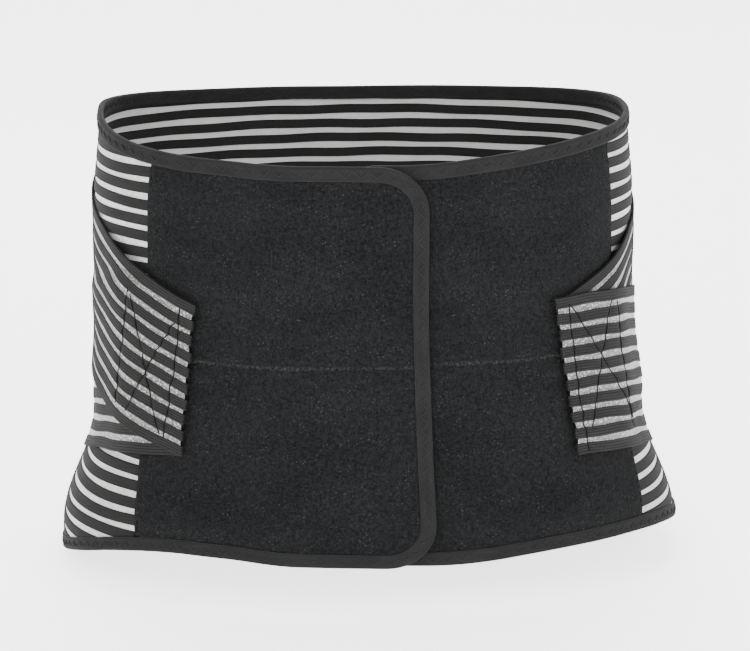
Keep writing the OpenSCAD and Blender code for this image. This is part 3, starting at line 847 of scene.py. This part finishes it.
# The box and cross sewn through the left tab (True) and the right one, as s and v at both ends of a line
STITCH_LINES = {
    True: ((-0.7, 0.87, 4.3, -0.87), (12.6, 0.7, 18.3, -0.81),
           (12.1, 0.64, 5.6, -0.85), (0.9, 0.66, 14.3, -0.8)),
    False: ((-0.5, 0.9, 3.0, -0.96), (14.4, 0.84, 18.0, -0.7),
            (0.1, 0.87, 20.3, -0.75), (11.9, 0.87, 4.3, -0.68)),
}


def stitch_dents(left, s, v):
    """How far the stitching pulls a tab in, in millimetres."""
    size = np.array([DEGREE_ON_TAB, STRAP_HALF_HEIGHT])
    x, y = s * size[0], v * size[1]
    depth = 0
    for s0, v0, s1, v1 in STITCH_LINES[left]:
        a, b = np.array([s0, v0]) * size, np.array([s1, v1]) * size
        way = (b - a) / np.linalg.norm(b - a)
        along = np.clip((x - a[0]) * way[0] + (y - a[1]) * way[1], 0, np.linalg.norm(b - a))
        gap = np.hypot(x - a[0] - along * way[0], y - a[1] - along * way[1])
        depth = np.maximum(depth, np.exp(-(gap / 1.1) ** 2))
    return 0.34 * depth


def strap(name, left, upper, start, end, seed):
    """One stretch of a strap, between s = start and end. A start of None is the tab's end."""
    where, height, kinds = ladder(RIBS_IN_STRAP, grooved=True)
    v = (where / STRAP_SPAN * 2 - 1)[None]
    rib = np.floor(where + 0.19)[None]
    jut = 0.45 * np.clip(height * 1.6, 0, 1)[None] + 0.12 * np.sin(rib * 4.1 + seed)
    tucked = 0 if left == upper else 0.9 + 3.8 * ease((v * (1 if left else -1) - 0.5) / 0.4)
    first = (tab_end(v) - jut + tucked) if start is None else np.full_like(v, start)
    spacing = 0.4 if start is None else 0.85
    share = np.linspace(0, 1, int(abs(end - (start or 0)) / spacing) + 2)[:, None]
    share = np.concatenate([[[0]], [[0.004]], share[1:]]) if start is None else share
    s = mix(first, end, share)
    sway = 0.006 * np.sin(s / 4.1 + rib * 2.7 + seed) + 0.004 * np.sin(s / 1.9 + rib * 1.3)
    middle = STRAP_THICKNESS / 2 + 0.12 * np.sin(s / 3.1 + rib * 1.9 + seed) * ease((s - 2) / 6)
    half = mix(WEB_HALF, STRAP_THICKNESS / 2 - 0.02, height)[None] + 0 * s
    if start is None:
        half[0] *= 0.55
    dent = stitch_dents(left, s, v) if left == upper and start is None else 0
    outer = strap_point(left, upper, s, v + sway, middle + half - dent * height[None])
    inner = strap_point(left, upper, s, v + sway, middle - half)
    # Cut strips on a strap take the near-black groove material, painted shade
    return solid_sheet(name, outer, inner, np.stack([s * 2.45, v * 40 + 0 * s], -1),
                       [STRAP_RIB, STRAP_WEB, GROOVE_SHADE], kinds, sharp=65)


def tab_stitches(name, left):
    """Thread of the box and cross sewn through both straps at a tab, sunk into the ribs it crosses."""
    random = np.random.default_rng(5 if left else 6)
    paths = []
    for s0, v0, s1, v1 in STITCH_LINES[left]:
        share = np.linspace(0, 1, 90)
        bend = np.interp(share, np.linspace(0, 1, 16), random.uniform(-0.3, 0.3, 16))
        s, v = mix(s0, s1, share) + bend, mix(v0, v1, share)
        across = ((v + 1) / 2 * STRAP_SPAN) % 1
        on_rib = ease(1 - np.abs(across - RIB_SHARE / 2) / (RIB_SHARE / 2) * 0.8)
        above = mix(STRAP_THICKNESS / 2 + 0.16, STRAP_THICKNESS - 0.16, on_rib)
        paths.append(strap_point(left, left, s, v, above))
    return threads(name, paths, 0.36, DARK_THREAD)


def frayed_ends(name, left):
    """Loose yarn ends along a tab's cut edge."""
    random = np.random.default_rng(8 if left else 9)
    paths = []
    for rib in range(RIBS_IN_STRAP):
        for _ in range(9):
            v = (rib + random.uniform(0.02, 0.98) * RIB_SHARE) / STRAP_SPAN * 2 - 1
            reach = random.uniform(0.25, 0.75)
            turn, height = random.uniform(-0.02, 0.02), random.uniform(0.25, 0.8) * STRAP_THICKNESS
            share = np.linspace(0, 1, 5)
            s = tab_end(v) + 0.5 - share * (0.9 + reach)
            paths.append(strap_point(left, left, s, v + turn * share ** 2, height + 0.3 * share ** 2))
    return threads(name, paths, 0.09, STRAP_RIB, sides=4)


HOOK_DEPTH = 0.75
HOOK_BACKING = 0.55
CLOSURE_LOW = -76.0
CLOSURE_HIGH = 82.0


def hook_tape(name, corners, base, pitch, ride_on):
    """Hook tape: a backing strip with rows of small bent hooks on its inside.

    corners(u, v) gives the angle and height for shares across and up the strip.
    """
    u, v = np.meshgrid(np.linspace(0, 1, 16), np.linspace(0, 1, 40), indexing="ij")
    t, z = corners(u, v)
    cloth = np.stack([u * 30, v * 150], -1)
    backing = solid_sheet(name, place(t, z, base + HOOK_BACKING), place(t, z, base), cloth, [HOOK], sharp=60)
    on_skin = place(t, z, 0)
    width = np.linalg.norm(on_skin[-1, 0] - on_skin[0, 0]) / MM
    height = np.linalg.norm(on_skin[0, -1] - on_skin[0, 0]) / MM
    bend = np.array([(0, 0), (0, 0.45), (0.12, 0.68), (0.38, 0.72), (0.5, 0.52)])
    paths = []
    for i in range(1, int(width / pitch)):
        for j in range(1, int(height / pitch)):
            at, up = corners(np.array(i * pitch / width), np.array(j * pitch / height))
            turn = 1 if (i + j) % 2 else -1
            paths.append(place(at, up + turn * bend[:, 0], base - (bend[:, 1] - 0.05)))
    hooks = threads(name + "_hooks", paths, 0.13, HOOK, sides=4)
    for piece in (backing, hooks):
        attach(piece, ride_on)
    return backing


# ---- back

STAY_ANGLES = (-23, -9, 9, 23)
POCKET_HALF_LENGTH = 97.0
POCKET_HALF_WIDTH = 10.0
ANCHOR_HALF_WIDTH = 13.0
ANCHOR_BASE = 4.2
ANCHOR_LOW = -100
ANCHOR_HIGH = 102
STITCH_LENGTH = 2.7
STITCH_GAP = 0.9


def upright_strip(name, t0, half, low, high, section, material, columns):
    """A strip of cloth up the back. section(w) gives its inner and outer offs across its width."""
    w = np.linspace(-half, half, columns)[:, None]
    z = np.linspace(low, high, 90)[None]
    t = t0 + w / rate(t0) + 0 * z
    inner, outer = section(w, z)
    cloth = np.stack([z + 0 * w, w + 0 * z], -1)
    return solid_sheet(name, place(t, z, outer), place(t, z, inner), cloth, [material], sharp=55)


def dashes(path, up):
    """Short sunk stitches along a path of points, lifted along up in the middle of each."""
    run = travelled(path)
    made = []
    start = 0.5
    while start + STITCH_LENGTH < run[-1]:
        spots = start + np.linspace(0, 1, 5) * STITCH_LENGTH
        line = np.stack([np.interp(spots, run, path[:, k]) for k in range(3)], 1)
        sink = np.array([-0.28, 0.08, 0.14, 0.08, -0.28])[:, None] * MM
        made.append(line + sink * up)
        start += STITCH_LENGTH + STITCH_GAP
    return made


def outward(t, z, off):
    """Directions straight out of the skin."""
    step = place(t, z, off + 1) - place(t, z, off)
    return step / np.linalg.norm(step, axis=-1, keepdims=True)


def strip_stitches(t0, w, low, high, off):
    """One row of stitches up a strip, w millimetres from its middle."""
    z = np.linspace(low, high, 80)
    t = t0 + w / rate(t0)
    path = place(t, z, off)
    return dashes(path, outward(t, z, off).mean(0))


def stay_pocket(index):
    """A tape pocket for one stay, sewn down along both sides and barred at both ends."""
    t0 = BACK_MIDDLE + STAY_ANGLES[index]
    base = ELASTIC_THICKNESS + 0.15

    def section(w, z):
        held = ease((POCKET_HALF_LENGTH - 3 - np.abs(z)) / 7)
        hump = 2.3 * held * (1 - ease((np.abs(w) - 5.2) / 2.6))
        ripple = 0.06 * waves(z * 1.2, w * 3, 30 + index, 12)
        outer = base + 0.95 + hump + ripple
        return base + hump * 0.96 + 0 * outer, outer

    pocket = upright_strip(f"pocket_{index + 1}", t0, POCKET_HALF_WIDTH, -POCKET_HALF_LENGTH,
                           POCKET_HALF_LENGTH, section, POCKET_CLOTH, 31)
    paths = []
    for w in (-8.6, 8.6):
        paths += strip_stitches(t0, w, -POCKET_HALF_LENGTH + 1, POCKET_HALF_LENGTH - 1, base + 0.98)
    for z in (-POCKET_HALF_LENGTH + 2.2, POCKET_HALF_LENGTH - 2.2):
        across = np.linspace(-8.2, 8.2, 44)
        jag = z + 0.8 * (np.arange(44) % 2 * 2 - 1)
        paths.append(place(t0 + across / rate(t0), jag, base + 1.02))
    sewn = threads(f"pocket_{index + 1}_stitches", paths, 0.2, BINDING_THREAD)
    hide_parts(f"stay_pocket_{index + 1}")
    for piece in (pocket, sewn):
        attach(piece, "back")


def anchor_patch(side, t0):
    """Tape over the sewn ends of a side's two straps."""
    def section(w, z):
        rim = 0.25 * (1 - ease((ANCHOR_HALF_WIDTH - np.abs(w)) / 1.2))
        ridge = 0.22 * np.sin(z / RIB_PITCH * math.tau) * np.exp(-(w / 9) ** 2)
        outer = ANCHOR_BASE + 0.85 + ridge - rim + 0.08 * waves(z, w, 50, 20)
        return ANCHOR_BASE + 0 * outer + ridge * 0.5, outer

    patch = upright_strip(f"{side}_anchor_tape", t0, ANCHOR_HALF_WIDTH, ANCHOR_LOW, ANCHOR_HIGH,
                          section, TAPE, 29)
    paths = []
    for w in (-10.6, -7.4, 7.4, 10.6):
        paths += strip_stitches(t0, w, ANCHOR_LOW + 2, ANCHOR_HIGH - 2, ANCHOR_BASE + 0.9)
    sewn = threads(f"{side}_anchor_stitches", paths, 0.22, BINDING_THREAD)
    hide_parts(f"{side}_anchor_patch")
    for piece in (patch, sewn):
        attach(piece, "back")


# ---- the two halves


def bend_at_side(piece):
    """Bakes a piece's transform into its mesh; the piece is not bent."""
    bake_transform(piece)


def make_half(side):
    """One half of the belt's body: elastic, panel, lining and binding."""
    left = side == "left"
    lead, way = (OUTER_LEAD, 1) if left else (INNER_LEAD, -1)
    seam_at = left_seam_at if left else right_seam_at
    seam = LEFT_SEAM if left else RIGHT_SEAM
    raised = lift if left else flat_on_skin
    panel = "outer_panel" if left else "inner_panel"
    front = f"{side}_front"

    elastic = body_elastic(f"{side}_body_elastic", seam_at)
    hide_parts(f"{side}_side_elastic", "back_elastic")
    bend_at_side(elastic)

    pad = panel_pad(f"{panel}_pad", lead, way, seam_at, raised, 21 if left else 34)
    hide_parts(f"{panel}_face", f"{panel}_core")
    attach(pad, front)

    lining = panel_lining(f"{panel}_lining_cloth", lead, way, seam_at, raised, 3)
    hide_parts(f"{panel}_lining")
    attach(lining, front)

    tape, thread = binding(f"{panel}_tape", lead, way, seam, raised)
    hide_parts(f"{panel}_binding", "back_top_binding", "back_bottom_binding")
    for piece in (tape, thread):
        bend_at_side(piece)

    z = np.linspace(bottom_height(seam) + 10, top_height(seam) - 10, 90)
    t = seam_at(z) - way * 2.6 / rate(seam)
    off = PANEL_THICKNESS - 0.05
    seam_thread = threads(f"{panel}_seam_stitches", dashes(place(t, z, off), outward(t, z, off).mean(0)),
                          0.22, DARK_THREAD)
    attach(seam_thread, front)


def make_straps(side):
    """A side's two straps, their shared tab and the hook tape under it."""
    left = side == "left"
    split = PEEL_REACH + PEEL_MARGIN
    bend_from, bend_to = (place(strap_angle(left, split - back), 0, 4).tolist() for back in PEEL_BAND)
    for upper in (True, False):
        name = f"{side}_{'upper' if upper else 'lower'}_strap"
        rear = strap(f"{name}_rear", left, upper, split, STRAP_REACH + STRAP_TUCK, 1.0 + upper)
        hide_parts(f"{name}_back", f"{name}_side")
        bend_at_side(rear)
        free = strap(f"{name}_free_end", left, upper, None, split, 1.0 + upper)
        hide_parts(f"{name}_front")
        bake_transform(free)
    for piece in (tab_stitches(f"{side}_tab_stitches", left), frayed_ends(f"{side}_tab_fray", left)):
        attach(piece, f"{side}_strap")

    low, high = -STRAP_HALF_HEIGHT - 2, STRAP_HALF_HEIGHT - 9

    def corners(u, v):
        z = mix(low, high, v)
        s = mix(0.6, 9.4, u) - TAB_LEAN * (z - (low + high) / 2) / STRAP_HALF_HEIGHT
        return strap_angle(left, s), z

    backing = hook_tape(f"{side}_tab_hook", corners, STRAP_ON_TAB - HOOK_DEPTH, 1.9, f"{side}_strap")
    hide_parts(f"{side}_strap_hook")


def make_closure():
    """The hook tape inside the outer panel."""

    def corners(u, v):
        start = OUTER_LEAD + (TAPE_WIDTH + 1.5) / rate(90)
        end = INNER_LEAD - (TAPE_WIDTH + 2) / rate(90)
        return mix(start, end, u), mix(CLOSURE_LOW, CLOSURE_HIGH, v)

    backing = hook_tape("closure_hook_tape", corners, OVERLAP_LIFT - HOOK_DEPTH, 2.1, "left_front")
    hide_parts("closure_hook")


def finish_stays():
    """The CAD's own stays and caps show, with materials of their own."""
    steel, plastic = spring_steel(), dipped_plastic()
    for name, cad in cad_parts.items():
        if name.startswith("stay_") and "pocket" not in name:
            cad.data.materials.clear()
            cad.data.materials.append(plastic if name == "stay_end_caps" else steel)


for side in ("left", "right"):
    make_half(side)
    make_straps(side)
make_closure()
for index in range(len(STAY_ANGLES)):
    stay_pocket(index)
anchor_patch("left", LEFT_TAB + STRAP_REACH)
anchor_patch("right", 360 + RIGHT_TAB - STRAP_REACH)
finish_stays()


# ---- studio

FLOOR_GAP = 0.0015


def aimed(name, data, location):
    """A camera or lamp at a place in metres, turned to the middle of the belt."""
    thing = bpy.data.objects.new(name, data)
    thing.location = location
    thing.rotation_euler = (-Vector(location)).to_track_quat("-Z", "Y").to_euler()
    bpy.context.scene.collection.objects.link(thing)
    return thing


def camera():
    """A long lens a little above the belt and a little to its left."""
    distance, elevation, azimuth = 1.25, math.radians(14), math.radians(-4)
    data = bpy.data.cameras.new("camera")
    data.sensor_width = 36
    data.lens = 111.1
    data.shift_x = 0.0157
    level = distance * math.cos(elevation)
    eye = (level * math.sin(azimuth), -level * math.cos(azimuth), distance * math.sin(elevation))
    bpy.context.scene.camera = aimed("camera", data, eye)


def softbox(name, location, size, power):
    """A rectangular lamp, its size in metres and its power in watts."""
    data = bpy.data.lights.new(name, "AREA")
    data.shape = "RECTANGLE"
    data.size, data.size_y = size
    data.energy = power
    aimed(name, data, location)


def studio():
    """A pale floor that curves up into a pale backdrop, with soft light all round."""
    surface = Nodes("studio_paper")
    where = surface.add("ShaderNodeTexCoord").outputs["Object"]
    tone = surface.add("ShaderNodeTexNoise", {"Vector": where, "Scale": 2.0, "Detail": 2.0}).outputs["Fac"]
    surface.set(Base_Color=surface.blend(tone, grey(0.88), grey(0.9)), Roughness=0.9,
                Emission_Color=grey(1.0), Emission_Strength=2.3)
    floor = CAD_BOX[0][2] - FLOOR_GAP
    reach, start, radius, height = 14.0, 1.6, 1.2, 5.0
    curve = [(-reach, 0.0), (start, 0.0)]
    curve += [(start + radius * math.sin(a), radius - radius * math.cos(a))
              for a in np.linspace(0.1, math.pi / 2, 14)]
    curve += [(start + radius, height)]
    points = [(x, y, floor + z) for y, z in curve for x in (-reach, reach)]
    faces = [(2 * i, 2 * i + 1, 2 * i + 3, 2 * i + 2) for i in range(len(curve) - 1)]
    mesh = bpy.data.meshes.new("studio_sweep")
    mesh.from_pydata(points, [], faces)
    mesh.shade_smooth()
    add_object("studio_sweep", mesh, [surface.material])

    softbox("key", (-1.1, -1.7, 1.5), (1.4, 1.4), 52)
    softbox("fill", (1.5, -1.3, 0.9), (1.4, 1.4), 34)
    softbox("top", (0.0, 0.1, 1.8), (1.6, 1.6), 22)
    softbox("back", (0.0, 1.5, 1.3), (1.6, 1.0), 20)
    world = bpy.data.worlds.new("studio_light")
    world.use_nodes = True
    world.node_tree.nodes["Background"].inputs["Color"].default_value = (1, 1, 1, 1)
    world.node_tree.nodes["Background"].inputs["Strength"].default_value = 0.8
    bpy.context.scene.world = world


camera()
studio()
